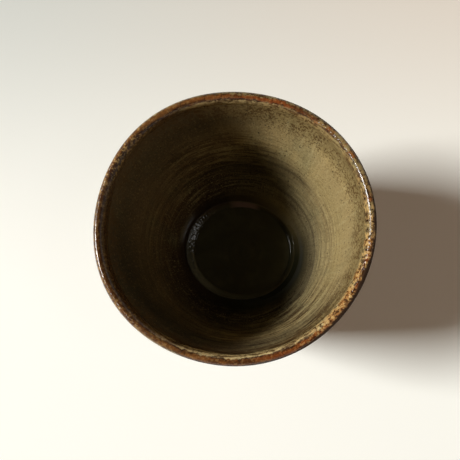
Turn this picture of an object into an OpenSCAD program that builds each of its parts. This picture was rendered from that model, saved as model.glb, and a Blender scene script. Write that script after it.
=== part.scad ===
// Hand-thrown stoneware cup without a handle: a tapered wall on a turned foot ring, a floor with a
// shallow well, and four coats of glaze that lie on the clay as separate skins.
// Millimetres, +Z up. The origin is the middle of the circle that the foot ring stands on.

/* [Cup] */
// Width over the glazed lip
mouth_d = 88; // [76:1:104]
// Height from the table to the top of the glazed lip
cup_h = 84; // [66:1:104]
// Width between the walls inside, level with the floor
floor_d = 58; // [50:1:66]
// How far the wall bellies out from a straight line at half height
belly = 1.2; // [0:0.1:3]

/* [Wall] */
// Clay thickness of the wall at the floor
wall_foot_t = 5; // [3.6:0.1:6.5]
// Clay thickness of the wall under the lip
wall_lip_t = 3; // [2.2:0.1:4.2]
// Height of the rounded top of the lip
lip_h = 2.4; // [1.6:0.1:3.6]
// Height of the rounded turn from the foot ring out to the wall
hip_h = 9; // [6:0.5:13]

/* [Floor] */
// Clay thickness under the middle of the well
floor_t = 4.6; // [3.5:0.1:7]
// Width of the flat ledge between the floor's curve and the well
ledge_w = 2; // [0.2:0.1:4]
// Depth of the well
well_depth = 1.5; // [0.8:0.1:3]
// Width of the well's sloping side
well_side_w = 3.2; // [2:0.1:5]
// Radius of the curve from the wall into the floor
floor_fillet = 4; // [2.5:0.1:6]

/* [Foot] */
// Outside width of the foot ring
foot_d = 56; // [48:1:64]
// Height of the foot ring's outside wall
foot_h = 6; // [4:0.1:9]
// Width of the foot ring where it stands on the table, with its rounded edges
foot_w = 5; // [3.6:0.1:7]
// Depth of the hollow turned under the foot
recess_depth = 4.5; // [3:0.1:7]
// Radius of the foot ring's two rounded edges
foot_edge = 0.8; // [0.4:0.1:1.4]
// How much narrower the hollow is at its ceiling, on the radius
recess_draft = 1; // [0.4:0.1:2]

/* [Throwing rings] */
// Height from one finger groove to the next on the inside wall
ring_pitch = 5; // [3.5:0.1:8]
// Depth of the finger grooves
ring_depth = 0.35; // [0.1:0.05:0.7]

/* [Glaze] */
// Thickness of the glaze on the walls
glaze_t = 0.45; // [0.3:0.05:0.8]
// Thickness of the glaze where it has run thin over the lip
lip_glaze_t = 0.25; // [0.2:0.05:0.4]
// Thickness of the glaze pooled on the floor
pool_t = 1; // [0.7:0.1:1.6]
// Height of the pool's upper edge above the floor curve
pool_rise = 3; // [1:0.5:6]
// Depth below the top at which the rim's glaze ends inside
rim_band_h = 8; // [5:0.5:14]
// Height above the table at which the outside glaze stops
glaze_line_h = 13; // [10:0.5:20]
// Thickness of the roll along the outside glaze's lower edge
roll_t = 0.9; // [0.85:0.05:1.4]
// Height of the roll's rounded edge
roll_h = 1.1; // [0.8:0.1:2]

/* [Hidden] */
$fn = 96;

// Steps in each stretch of the outline
hip_steps = 10;
outer_steps = 44;
lip_steps = 16;
band_steps = 8;
steps_per_ring = 6;
pool_steps = 4;
fillet_steps = 10;
side_steps = 10;
edge_steps = 4;

// Shares of a stretch
roll_fade_share = 0.12;  // of the outer wall: where the roll has thinned to the wall's glaze
lip_thin_share = 0.12;   // of the outer wall: the last stretch, where the glaze thins to the lip's
ring_fade_share = 0.6;   // of the inside wall: the stretch over which the grooves die out towards the lip
ring_start_share = 0.08; // of the inside wall: where the grooves begin above the floor
well_fill_share = 0.3;   // of the pool: how much thicker it is in the middle of the well

// Heights
lip_z = cup_h - lip_glaze_t - lip_h;
well_z = recess_depth + floor_t;
ledge_z = well_z + well_depth;
wall_run = lip_z - ledge_z;
hip_z = foot_h + hip_h;
band_z = cup_h - rim_band_h;
pool_z = ledge_z + floor_fillet + pool_rise;

// Radii
floor_r = floor_d / 2;
foot_r = foot_d / 2;
foot_in_r = foot_r - foot_w;
well_r = floor_r - floor_fillet - ledge_w;
lip_half = wall_lip_t / 2;
lean = (mouth_d / 2 - lip_glaze_t - wall_lip_t - floor_r - 4 * belly) / wall_run;
lip_mid_r = mouth_d / 2 - lip_glaze_t - sqrt(pow(lip_half, 2) + pow(lean * lip_h, 2));
lip_in_r = lip_mid_r - lip_half;

// 0 below 0, 1 above 1, and a smooth rise between
function smooth(x) = let (c = max(0, min(1, x))) c * c * (3 - 2 * c);

function mix(a, b, share) = a + (b - a) * share;

// Place of a height on the inside wall: 0 at the floor, 1 under the lip
function up_wall(z) = (z - ledge_z) / wall_run;

// Inside radius of the clay wall, without its finger grooves
function wall_in_r(z) = let (u = up_wall(z)) mix(floor_r, lip_in_r, u) + 4 * belly * u * (1 - u);

// Depth of the finger grooves at a height, fading out at both ends of the wall
function groove(z) =
    let (u = up_wall(z))
    ring_depth * (1 - cos(360 * (z - ledge_z) / ring_pitch)) / 2
        * smooth(u / ring_start_share) * smooth((1 - u) / ring_fade_share);

function grooved_r(z) = wall_in_r(z) + groove(z);

function wall_t(z) = mix(wall_foot_t, wall_lip_t, max(0, up_wall(z)));

// Turn of the hip at a height: 0 degrees where it leaves the foot ring, 90 where it meets the wall
function hip_turn(z) = acos(1 - max(0, min(1, (z - foot_h) / hip_h)));

// Outside radius of the clay, drawn in to the foot ring by the hip
hip_w = wall_in_r(foot_h) + wall_t(foot_h) - foot_r;
function wall_out_r(z) = wall_in_r(z) + wall_t(z) - hip_w * (1 - sin(hip_turn(z)));

function arc(mid_r, mid_z, radius, from, to, steps) = [
    for (i = [0:steps])
        let (a = mix(from, to, i / steps))
        [mid_r + radius * cos(a), mid_z + radius * sin(a)]
];

// Climb of the outer wall: 0 at the foot ring, 1 at the top of the hip, 2 at the lip
function climb_z(w) = w < 1 ? foot_h + hip_h * (1 - cos(90 * w)) : mix(hip_z, lip_z, w - 1);
glaze_line_climb = glaze_line_h < hip_z
    ? hip_turn(glaze_line_h) / 90
    : 1 + (glaze_line_h - hip_z) / (lip_z - hip_z);

// Glaze thickness on the outer wall: a rounded roll at the lower edge, thin again towards the lip
function outer_t(z) =
    let (rise = z - glaze_line_h, run = lip_z - glaze_line_h)
    let (edge = sqrt(1 - pow(1 - min(1, rise / roll_h), 2)))
    let (body = mix(roll_t, glaze_t, smooth((rise - roll_h) / (roll_fade_share * run))))
    edge * mix(body, lip_glaze_t, smooth((rise / run - 1 + lip_thin_share) / lip_thin_share));

// Glaze thickness on the inside wall: thin at the lip, full at the end of the rim's band
function inner_t(z) = mix(lip_glaze_t, glaze_t, smooth((lip_z - z) / (lip_z - band_z)));

// The glazed stretches of the outline, in order from the outside glaze line over the lip and down
// to the middle of the floor. Each entry is [radius, height, glaze thickness, 1 if the glaze stands
// straight up from the clay or 0 if it stands square to it].
outer_stretch = [
    for (i = [0:outer_steps])
        let (z = climb_z(mix(glaze_line_climb, 2, pow(i / outer_steps, 2))))
        [wall_out_r(z), z, i == 0 ? 0 : outer_t(z), 0]
];
lip_stretch = [
    for (i = [1:lip_steps])
        let (a = 180 * i / lip_steps, up = lip_h * sin(a))
        [lip_mid_r + lip_half * cos(a) + lean * up, lip_z + up, lip_glaze_t, 0]
];
band_stretch = [
    for (i = [1:band_steps])
        let (z = mix(lip_z, band_z, i / band_steps))
        [grooved_r(z), z, inner_t(z), 0]
];
grooved_steps = ceil((band_z - pool_z) / ring_pitch * steps_per_ring);
grooved_stretch = [
    for (i = [1:grooved_steps])
        let (z = mix(band_z, pool_z, i / grooved_steps))
        [grooved_r(z), z, glaze_t, 0]
];
pool_stretch = [
    for (i = [1:pool_steps])
        let (z = mix(pool_z, ledge_z + floor_fillet, i / pool_steps))
        [grooved_r(z), z, mix(glaze_t, pool_t, smooth(i / pool_steps)), 0]
];
fillet_stretch = [
    for (i = [1:fillet_steps])
        let (a = 90 * i / fillet_steps, z = ledge_z + floor_fillet * (1 - sin(a)))
        [wall_in_r(z) - floor_fillet * (1 - cos(a)), z, pool_t, 0]
];
side_stretch = [
    for (i = [0:side_steps])
        let (share = i / side_steps)
        [well_r - well_side_w * share, ledge_z - well_depth * smooth(share),
         pool_t * (1 + well_fill_share * smooth(share)), 1]
];
middle_stretch = [[0, well_z, pool_t * (1 + well_fill_share), 1]];
skin = concat(outer_stretch, lip_stretch, band_stretch, grooved_stretch, pool_stretch,
              fillet_stretch, side_stretch, middle_stretch);

// Where the coats of glaze meet, as places in the list
lip_place = outer_steps;
band_place = lip_place + lip_steps + band_steps;
pool_place = band_place + grooved_steps;
last_place = len(skin) - 1;

clay_line = [for (s = skin) [s[0], s[1]]];

// Direction in which the glaze stands off the clay at a place in the list
function off_clay(i) =
    let (along = clay_line[min(last_place, i + 1)] - clay_line[max(0, i - 1)])
    skin[i][3] == 1 ? [0, 1] : [along[1], -along[0]] / norm(along);

glaze_line = [for (i = [0:last_place]) clay_line[i] + skin[i][2] * off_clay(i)];

// The bare stretches: the hollow under the foot, the foot ring and the hip up to the glaze line
bare_line = concat(
    [[0, recess_depth], [foot_in_r - recess_draft, recess_depth]],
    arc(foot_in_r + foot_edge, foot_edge, foot_edge, 180, 270, edge_steps),
    arc(foot_r - foot_edge, foot_edge, foot_edge, 270, 360, edge_steps),
    [for (i = [0:hip_steps - 1])
        let (z = climb_z(glaze_line_climb * i / hip_steps))
        [wall_out_r(z), z]]
);

// One coat of glaze, between two places in the list
module coat(from, to) {
    rotate_extrude()
        polygon(concat(
            [for (i = [from:to]) clay_line[i]],
            [for (i = [to:-1:from]) if (skin[i][2] > 0) glaze_line[i]]
        ));
}

// The thrown and turned clay, in one lump from the foot ring to the lip
module clay_body() {
    color("#6b4a30")
        rotate_extrude()
            polygon(concat(bare_line, clay_line));
}

// Dark iron glaze on the outside wall, ending in a roll above the foot
module outer_glaze() {
    color("#2b2113")
        coat(0, lip_place);
}

// Rust-brown glaze over the lip and a short way down the inside
module rim_glaze() {
    color("#7a4524")
        coat(lip_place, band_place);
}

// Olive ash glaze on the inside wall
module inner_glaze() {
    color("#958358")
        coat(band_place, pool_place);
}

// Dark glaze pooled on the floor and in the well
module well_glaze() {
    color("#54503a")
        coat(pool_place, last_place);
}

clay_body();
outer_glaze();
rim_glaze();
inner_glaze();
well_glaze();
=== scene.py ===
"""Hand-thrown stoneware cup: its clay, its four coats of glaze, the window light and the camera.

The cup is one outline turned about +Z: from the hollow under the foot, round the foot ring, up the
outer wall, over the lip, down the inside and across the floor. The clay follows that outline, and
each coat of glaze is a slice of the same outline with a thickness laid on it, so that neighbouring
coats meet edge to edge. The potter's hand then pulls the whole form a little out of round.
"""

import logging
import math
from dataclasses import dataclass, field
from enum import Enum
from functools import cached_property, reduce
from typing import ClassVar, Optional, Sequence, Union

import bpy
import numpy as np
from mathutils import Matrix, Vector


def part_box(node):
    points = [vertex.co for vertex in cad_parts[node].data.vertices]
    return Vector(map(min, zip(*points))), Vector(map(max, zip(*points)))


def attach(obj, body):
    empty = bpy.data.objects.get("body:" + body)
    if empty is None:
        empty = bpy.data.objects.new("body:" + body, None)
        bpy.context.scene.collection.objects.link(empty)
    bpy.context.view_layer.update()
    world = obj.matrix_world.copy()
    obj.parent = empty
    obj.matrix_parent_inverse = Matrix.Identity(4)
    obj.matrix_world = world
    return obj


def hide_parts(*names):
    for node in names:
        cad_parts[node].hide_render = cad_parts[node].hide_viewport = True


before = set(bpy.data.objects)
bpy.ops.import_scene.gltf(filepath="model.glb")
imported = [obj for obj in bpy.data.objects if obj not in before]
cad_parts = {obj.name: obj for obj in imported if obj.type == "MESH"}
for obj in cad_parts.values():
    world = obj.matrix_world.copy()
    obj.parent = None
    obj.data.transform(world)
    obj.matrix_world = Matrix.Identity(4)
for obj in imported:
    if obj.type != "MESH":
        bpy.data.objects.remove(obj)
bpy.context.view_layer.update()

MM = 0.001
TURN = 2 * math.pi
# Where a grid stops beside the axis, as a share of its widest radius
NEAR_AXIS = 0.005
# Where the full part of a sector ends, as a share of its half angle
SECTOR_CORE = 0.3
# The Mix node's sockets for colours, by number because those for numbers have the same names
MIX_INPUTS = (0, 6, 7)
MIX_OUTPUT = 2

log = logging.getLogger("cup")

Array = np.ndarray
Socket = bpy.types.NodeSocket
Colour = tuple[float, float, float, float]
Number = Union[float, Socket]
Paint = Union[Colour, Socket]
Pair = tuple[float, float]
# A stretch of an outline: its radii, then its heights and other values
Stretch = Sequence[Union[float, Array]]
# Waves round the axis by count, reach and angle of a crest, and a glaze's zones by place and colour
Waves = tuple[tuple[int, float, float], ...]
Zones = tuple[tuple[float, str], ...]


def smooth(x: Array) -> Array:
    """Return 0 below 0, 1 above 1 and 3x^2 - 2x^3 between."""
    c = np.clip(x, 0.0, 1.0)
    return c * c * (3.0 - 2.0 * c)


def faded(place: Array, first: float, last: float, whole: float = 1.0) -> Array:
    """Return a smooth rise over the first stretch, 1, and a smooth fall over the last of the whole."""
    return smooth(place / first) * smooth((whole - place) / last)


def mix(a: Array, b: Array, share: Array) -> Array:
    """Return the value that lies the given share of the way from a to b."""
    return a + (b - a) * share


def colour(code: str) -> Colour:
    """Turn a web colour into Blender's linear one.

    Args:
        code: six hexadecimal digits, as a screen shows the colour.

    Returns:
        Linear red, green, blue and an alpha of 1.
    """
    screen = [int(code[i : i + 2], 16) / 255 for i in (0, 2, 4)]
    linear = [c / 12.92 if c <= 0.04045 else ((c + 0.055) / 1.055) ** 2.4 for c in screen]
    return (*linear, 1.0)


class Coat(Enum):
    """The five pieces of the cup, by the name of their solid."""

    CLAY = "clay_body"
    OUTER = "outer_glaze"
    RIM = "rim_glaze"
    INNER = "inner_glaze"
    WELL = "well_glaze"


@dataclass(frozen=True)
class CupSizes:
    """Real sizes of the cup in metres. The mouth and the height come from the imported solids."""

    mouth_r: float
    height: float
    floor_r: float = 29.0 * MM
    belly: float = 1.2 * MM
    wall_foot_t: float = 5.0 * MM
    wall_lip_t: float = 3.0 * MM
    lip_h: float = 2.4 * MM
    hip_h: float = 9.0 * MM
    floor_t: float = 4.6 * MM
    ledge_w: float = 2.0 * MM
    well_depth: float = 1.5 * MM
    well_side_w: float = 3.2 * MM
    floor_fillet: float = 4.0 * MM
    foot_r: float = 28.0 * MM
    foot_h: float = 6.0 * MM
    foot_w: float = 5.0 * MM
    foot_edge: float = 0.8 * MM
    recess_depth: float = 4.5 * MM
    recess_draft: float = 1.0 * MM
    recess_corner: float = 0.6 * MM
    neck_h: float = 0.7 * MM
    hip_start: float = 0.25 * MM
    ring_pitch: float = 5.0 * MM
    ring_depth: float = 0.35 * MM
    glaze_t: float = 0.45 * MM
    lip_glaze_t: float = 0.25 * MM
    pool_t: float = 1.0 * MM
    pool_rise: float = 3.0 * MM
    rim_band_h: float = 8.0 * MM
    glaze_line_h: float = 13.0 * MM
    roll_t: float = 0.9 * MM
    roll_h: float = 1.1 * MM
    # Share of the outer wall over which the glaze thins above its roll, and again below the lip
    thinning: float = 0.12
    well_fill_share: float = 0.3

    @classmethod
    def from_frame(cls) -> "CupSizes":
        """Read the mouth's radius and the cup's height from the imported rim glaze."""
        _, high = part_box(Coat.RIM.value)
        return cls(mouth_r=high.x, height=high.z)

    @property
    def lip_z(self) -> float:
        """Height at which the rounded lip springs from the wall."""
        return self.height - self.lip_glaze_t - self.lip_h

    @property
    def well_z(self) -> float:
        """Height of the clay in the middle of the well."""
        return self.recess_depth + self.floor_t

    @property
    def ledge_z(self) -> float:
        """Height of the clay ledge round the well."""
        return self.well_z + self.well_depth

    @property
    def band_z(self) -> float:
        """Height at which the rim's glaze meets the inner glaze."""
        return self.height - self.rim_band_h

    @property
    def pool_z(self) -> float:
        """Height at which the inner glaze meets the pool."""
        return self.ledge_z + self.floor_fillet + self.pool_rise

    @property
    def lean(self) -> float:
        """Outward lean of the wall under the lip, as run over rise."""
        run = self.mouth_r - self.lip_glaze_t - self.wall_lip_t - self.floor_r - 4 * self.belly
        return run / (self.lip_z - self.ledge_z)

    @property
    def lip_mid_r(self) -> float:
        """Radius of the middle of the lip where it springs from the wall."""
        reach = math.hypot(self.wall_lip_t / 2, self.lean * self.lip_h)
        return self.mouth_r - self.lip_glaze_t - reach


@dataclass(frozen=True)
class PottersHand:
    """How far the thrown form strays from a true turned one. Lengths in metres, angles in degrees."""

    # Out-of-round of the mouth, as shares of its radius
    mouth_waves: Waves = ((2, 0.0107, 2.6), (3, 0.0032, 9.2), (4, 0.0056, 30.1), (5, 0.0020, -13.6))
    round_below: float = 14.0 * MM
    lip_dip: float = 0.45 * MM
    lip_dip_at: float = 250.0
    glaze_line_rise: float = 1.6 * MM
    glaze_line_waves: Waves = ((1, 0.28, 55.6225), (3, 0.14, -8.1972), (8, 0.08, 9.1014))
    pitch_wander: float = 0.9 * MM
    # Heights over which the pitch wanders inside and outside, and the fingers press and ease
    wander_in_h: Pair = (23.0 * MM, 9.5 * MM)
    wander_out_h: float = 31.0 * MM
    press_h: float = 37.0 * MM
    press_share: float = 0.45
    # How soon grooves, rings and marks fade in from one end of their stretch and out at the other
    groove_fades: Pair = (0.08, 0.6)
    end_fades: Pair = (0.1, 0.15)
    ring_fades: Pair = (0.15, 0.2)
    ceiling_fade: float = 2.0 * MM
    floor_spiral_fades: Pair = (3.0 * MM, 5.0 * MM)
    worn_from: float = 34.0 * MM
    worn_to: float = 52.0 * MM
    worn_share: float = 0.2
    outer_ring_depth: float = 0.16 * MM
    outer_ring_pitch: float = 6.2 * MM
    undulation: float = 0.12 * MM
    undulation_outside: float = 0.4
    undulation_inside: float = 1.9
    # Slow waves: reach, count round the axis, height of one wave and share of the shift
    undulation_waves: tuple[tuple[float, int, float, float], ...] = (
        (0.45, 2, 61.0 * MM, 1.0), (0.35, 3, -43.0 * MM, 2.1), (0.20, 7, 29.0 * MM, 0.7),
    )
    floor_spiral_depth: float = 0.08 * MM
    floor_spiral_pitch: float = 4.2 * MM
    floor_spiral_r: float = 11.0 * MM
    floor_spiral_phase: float = 2.4
    groove_fill_share: float = 0.55
    # The well's upper edge and the foot of its side
    well_edge_waves: Waves = ((0, -0.6 * MM, 0.0), (1, 1.3 * MM, 146.0), (2, 1.1 * MM, -11.0))
    well_foot_waves: Waves = ((0, 0.05 * MM, 0.0), (1, 0.75 * MM, 114.0), (2, 0.9 * MM, -13.0))
    well_top_share: float = 0.12
    well_foot_share: float = 0.32
    well_foot_swing: float = 0.18
    turning_depth: float = 0.07 * MM
    turning_pitch: float = 1.7 * MM
    trimming_pitch: float = 1.7 / 1.2 * MM

    def mouth(self, theta: Array) -> Array:
        """Radius of the mouth as a share of a round one: 1 plus its waves, over their largest reach."""
        waves = 1.0 + self.waves(theta, self.mouth_waves)
        reach = max(np.abs(waves * np.cos(theta)).max(), np.abs(waves * np.sin(theta)).max())
        return waves / reach

    @staticmethod
    def waves(theta: Array, waves: Waves) -> Array:
        """Sum of cosines round the axis, each with its count, reach and the angle of a crest."""
        return sum(reach * np.cos(count * (theta - math.radians(at))) for count, reach, at in waves)

    def pulled(self, r: Array, z: Array, theta: Array, sizes: CupSizes) -> Array:
        """Place outline points in space, with the mouth out of round and the lip out of level.

        The radius is multiplied by the mouth's share, and the height lowered by the lip's dip, both
        faded in from the foot to the lip.

        Args:
            r: radii, one row per outline point and one column per angle.
            z: heights, in the same layout.
            theta: angles, one per column.
            sizes: the cup's sizes.

        Returns:
            Points, in the layout of r with x, y and z last.
        """
        rise = smooth((z - self.round_below) / (sizes.height - self.round_below))
        radius = r * (1.0 + (self.mouth(theta) - 1.0) * rise)
        dip = self.lip_dip * (1.0 + np.cos(theta - math.radians(self.lip_dip_at))) / 2
        height = z - dip * rise
        return np.stack([radius * np.cos(theta), radius * np.sin(theta), height], axis=-1)


@dataclass(frozen=True)
class GlazeRuns:
    """A veil of paler glaze outside, that has slid down from the lip in runs of many lengths."""

    count: int = 30
    seed: int = 11
    narrowest: float = 1.3 * MM
    widest: float = 4.2 * MM
    shortest: float = 3.0 * MM
    longest: float = 30.0 * MM
    hem: float = 5.0 * MM
    hem_wave: float = 2.5 * MM
    bead_h: float = 2.2 * MM
    bead_t: float = 0.22 * MM
    body_t: float = 0.07 * MM
    # Powers that make most runs short, and a run's sides steep
    shortness: float = 2.2
    steepness: float = 2.4

    def cover(self, theta: Array, down: Array, radius: float) -> tuple[Array, Array]:
        """Work out where the veil lies and how thick it is.

        The veil's hem waves slowly round the cup, and each run lowers it by a bell curve round its own
        angle. The veil thins out towards the hem, and a run ends in a rounded bead.

        Args:
            theta: angles, one per column.
            down: distances below the lip, one row per outline point.
            radius: the cup's radius, which turns angles into widths.

        Returns:
            The share of cover from 0 to 1, and the added thickness in metres.
        """
        rng = np.random.default_rng(self.seed)
        at = rng.uniform(0, TURN, self.count)
        half = rng.uniform(self.narrowest, self.widest, self.count)
        length = mix(self.shortest, self.longest, rng.uniform(0, 1, self.count) ** self.shortness)
        off = np.angle(np.exp(1j * (theta[:, None] - at))) * radius / half
        bells = np.exp(-(np.abs(off) ** self.steepness)) * length
        hem = self.hem + self.hem_wave * (np.sin(2 * theta + 1.0) + 0.6 * np.sin(5 * theta))
        longest = bells.max(axis=1)
        reach = hem + longest
        runny = longest / (longest + self.bead_h)
        soft = self.bead_h * (1.0 + 1.5 * (1.0 - runny))
        share = smooth((reach - down) / soft)
        bead = np.exp(-(((down - reach + self.bead_h) / self.bead_h) ** 2)) * runny
        return share, bead * self.bead_t + share * self.body_t


MARKS = ("run", "furrow", "ash", "sink")
OUTLINE_PARTS = ("point", "normal") + MARKS


@dataclass
class Outline:
    """One outline as a grid: a row for each point along it and a column for each angle."""

    point: Array
    normal: Array
    run: Array
    furrow: Array
    ash: Array
    sink: Array

    def rows(self, which: Union[slice, Array]) -> "Outline":
        """Return the outline with only the named rows."""
        return Outline(*(getattr(self, name)[which] for name in OUTLINE_PARTS))

    def reversed(self) -> "Outline":
        """Return the outline walked the other way, facing the other side."""
        back = self.rows(slice(None, None, -1))
        back.normal = -back.normal
        return back


def join(*outlines: Outline) -> Outline:
    """Return the outlines laid end to end."""
    return Outline(*(np.concatenate([getattr(o, name) for o in outlines]) for name in OUTLINE_PARTS))


def facing(point: Array) -> Array:
    """Unit normals of a grid of points: the way round crossed with the way along the outline."""
    along = np.gradient(point, axis=0)
    around = np.roll(point, -1, axis=1) - np.roll(point, 1, axis=1)
    normal = np.cross(around, along)
    length = np.linalg.norm(normal, axis=-1, keepdims=True)
    return normal / np.maximum(length, 1e-12)


def stacked(*stretches: Stretch) -> list[Array]:
    """Lay stretches of an outline end to end.

    Args:
        stretches: for each stretch its radii and then its other values, where a single number holds
            all over the stretch.

    Returns:
        One grid for each kind of value.
    """
    return [
        np.concatenate([value + 0 * stretch[0] for value, stretch in zip(values, stretches)])
        for values in zip(*stretches)
    ]


@dataclass
class ThrownForm:
    """The cup's clay and glaze surfaces, worked out once and shared by all its pieces."""

    sizes: CupSizes
    hand: PottersHand = field(default_factory=PottersHand)
    runs: GlazeRuns = field(default_factory=GlazeRuns)
    columns: int = 432
    outer_rows: int = 104
    lip_rows: int = 40
    band_rows: int = 16
    wall_rows: int = 112
    pool_rows: int = 10
    fillet_rows: int = 16
    ledge_rows: int = 8
    side_rows: int = 26
    floor_rows: int = 48
    ceiling_rows: int = 46
    corner_rows: int = 6
    hollow_rows: int = 12
    edge_rows: int = 8
    stand_rows: int = 6
    ring_rows: int = 16
    hip_rows: int = 44
    # Behind a coat, the clay's first rows at the glaze line are kept, and then one in so many
    near_rows: int = 14
    back_step: int = 4
    # Powers that crowd the rows at the glaze line and at the foot of the hip
    outer_crowding: float = 1.7
    hip_crowding: float = 1.5

    def __post_init__(self) -> None:
        """Work out the clay's and the glaze's surfaces."""
        self.theta = np.arange(self.columns) * TURN / self.columns
        self.lip_place = self.outer_rows - 1
        self.band_place = self.lip_place + self.lip_rows + self.band_rows
        self.pool_place = self.band_place + self.wall_rows
        r, z, thick, upright, furrow, ash = stacked(
            self._outer_wall(), self._lip(), self._inner_wall(), *self._floor()
        )
        walked = self._walked(r, z)
        self.run = walked - walked[self.lip_place + self.lip_rows // 2]
        off_r, off_z = self._off_clay(r, z, upright)
        marks = (self.run, furrow, ash, self.sink(r))
        self.clay = self._surface(r, z, *marks)
        self.glaze = self._surface(r + thick * off_r, z + thick * off_z, *marks)
        self.bare = self._bare_outline()

    def _shares(self, count: int, first: int = 0, total: int = 0) -> Array:
        """Return a column of count shares, first, first + 1 and so on, over total or else count."""
        return np.arange(first, first + count)[:, None] / (total or count) + 0 * self.theta

    def _rings(self, phase: Array) -> Array:
        """Return rings from 0 to 1, a cosine of the phase that climbs one ring a turn."""
        return (1 - np.cos(TURN * phase + self.theta)) / 2

    def wall_share(self, z: Array) -> Array:
        """Place up the wall, as a share of the way from the ledge to the lip's spring."""
        s = self.sizes
        return (z - s.ledge_z) / (s.lip_z - s.ledge_z)

    def wall_in(self, z: Array) -> Array:
        """Inside radius: a straight taper from floor to lip plus a parabola of height belly."""
        s, u = self.sizes, self.wall_share(z)
        return mix(s.floor_r, s.lip_mid_r - s.wall_lip_t / 2, u) + 4 * s.belly * u * (1 - u)

    def wall_out(self, z: Array) -> Array:
        """Outside radius: the inside one plus the wall, drawn in to the foot by a quarter ellipse."""
        s = self.sizes
        u = np.maximum(0.0, self.wall_share(z))
        turn = np.arccos(1.0 - np.clip((z - s.foot_h) / s.hip_h, 0.0, 1.0))
        hip_w = self.wall_in(np.float64(s.foot_h)) + s.wall_foot_t - s.foot_r
        return self.wall_in(z) + mix(s.wall_foot_t, s.wall_lip_t, u) - hip_w * (1 - np.sin(turn))

    def groove(self, z: Array) -> Array:
        """Finger grooves inside, from 0 to 1: a cosine of the height that climbs one pitch a turn.

        The pitch wanders a little with height. The grooves are deep low down, where the fingers
        pressed hardest, and nearly smoothed away in the upper half of the wall.
        """
        s, h, u = self.sizes, self.hand, self.wall_share(z)
        long, short = h.wander_in_h
        wander = h.pitch_wander * (np.sin(TURN * z / long) + 0.4 * np.sin(TURN * z / short + 1.0))
        worn = mix(1.0, h.worn_share, smooth((z - h.worn_from) / (h.worn_to - h.worn_from)))
        rings = self._rings((z + wander - s.ledge_z) / s.ring_pitch)
        return faded(u, *h.groove_fades) * worn * rings

    def well_edge(self) -> Array:
        """Radius of the well's upper edge at each angle."""
        s, h = self.sizes, self.hand
        return s.floor_r - s.floor_fillet - s.ledge_w + h.waves(self.theta, h.well_edge_waves)

    def well_foot(self) -> Array:
        """Radius of the foot of the well's side at each angle."""
        s, h = self.sizes, self.hand
        mean = s.floor_r - s.floor_fillet - s.ledge_w - s.well_side_w
        return mean + h.waves(self.theta, h.well_foot_waves)

    def sink(self, r: Array) -> Array:
        """Place across the well.

        It is below 0 outside the well's edge, as the distance from it in millimetres, 0 to 1 down the
        side, and above 1 on the floor, as 1 plus the distance from the side's foot in millimetres.

        Args:
            r: radii, one row per outline point and one column per angle.

        Returns:
            The places, in the same layout.
        """
        edge, foot = self.well_edge(), self.well_foot()
        outside, inside = (edge - r) / MM, 1 + (foot - r) / MM
        return np.where(r > edge, outside, np.where(r > foot, (edge - r) / (edge - foot), inside))

    def slope(self, share: Array) -> Array:
        """Fall of the well's side, from 0 to 1: straight in the middle, with both ends rounded off."""
        top = self.hand.well_top_share
        foot = self.hand.well_foot_share + self.hand.well_foot_swing * np.cos(self.theta)
        c = np.clip(share, 0.0, 1.0)
        full = 1 - (top + foot) / 2
        low = np.where(c < top, c**2 / (2 * top), c - top / 2)
        fall = np.where(c > 1 - foot, full - (1 - c) ** 2 / (2 * foot), low)
        return fall / full

    def undulation(self, z: Array, shift: float) -> Array:
        """Slow hand-made unevenness, within -1 and 1: a sum of three sines round and up the wall."""
        return sum(
            reach * np.sin(count * self.theta + TURN * z / height + shift_by * shift)
            for reach, count, height, shift_by in self.hand.undulation_waves
        )

    def glaze_line(self) -> Array:
        """Height of the outside glaze's lower edge at each angle, uneven as dipped glaze leaves it."""
        wave = 0.5 + self.hand.waves(self.theta, self.hand.glaze_line_waves)
        return self.sizes.glaze_line_h + self.hand.glaze_line_rise * np.clip(wave, 0.0, 1.0)

    def _outer_wall(self) -> Stretch:
        """The outer wall, from the glaze's rolled lower edge to the lip's spring."""
        s, h = self.sizes, self.hand
        line = self.glaze_line()
        up = self._shares(self.outer_rows, 0, self.outer_rows - 1) ** self.outer_crowding
        z = mix(line, s.lip_z, up)
        rise, climb = z - line, (z - line) / (s.lip_z - line)
        wander = h.pitch_wander * np.sin(TURN * z / h.wander_out_h + 0.7 * np.sin(self.theta + 1.0))
        pressed = 1 + h.press_share * (np.sin(TURN * z / h.press_h + self.theta + 2.0) - 1)
        fade = faded(climb, *h.end_fades)
        ring = self._rings((z + wander) / h.outer_ring_pitch) * pressed * fade
        r = self.wall_out(z) - h.outer_ring_depth * ring
        r += h.undulation * (self.undulation(z, h.undulation_outside) - 1.0) * fade
        edge = np.sqrt(1 - (1 - np.clip(rise / s.roll_h, 0, 1)) ** 2)
        body = mix(s.roll_t, s.glaze_t, smooth((rise - s.roll_h) / (s.thinning * (s.lip_z - line))))
        veil, bead = self.runs.cover(self.theta, s.height - z, s.mouth_r)
        thick = edge * mix(body, s.lip_glaze_t, smooth(1 + (climb - 1) / s.thinning)) + bead * fade
        return r, z, thick, 0, ring, veil

    def _lip(self) -> Stretch:
        """The lip: half an ellipse that leans with the wall."""
        s = self.sizes
        over = self._shares(self.lip_rows, 1) * math.pi
        up = s.lip_h * np.sin(over)
        r = s.lip_mid_r + s.wall_lip_t / 2 * np.cos(over) + s.lean * up
        return r, s.lip_z + up, s.lip_glaze_t, 0, 0, 0

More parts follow.
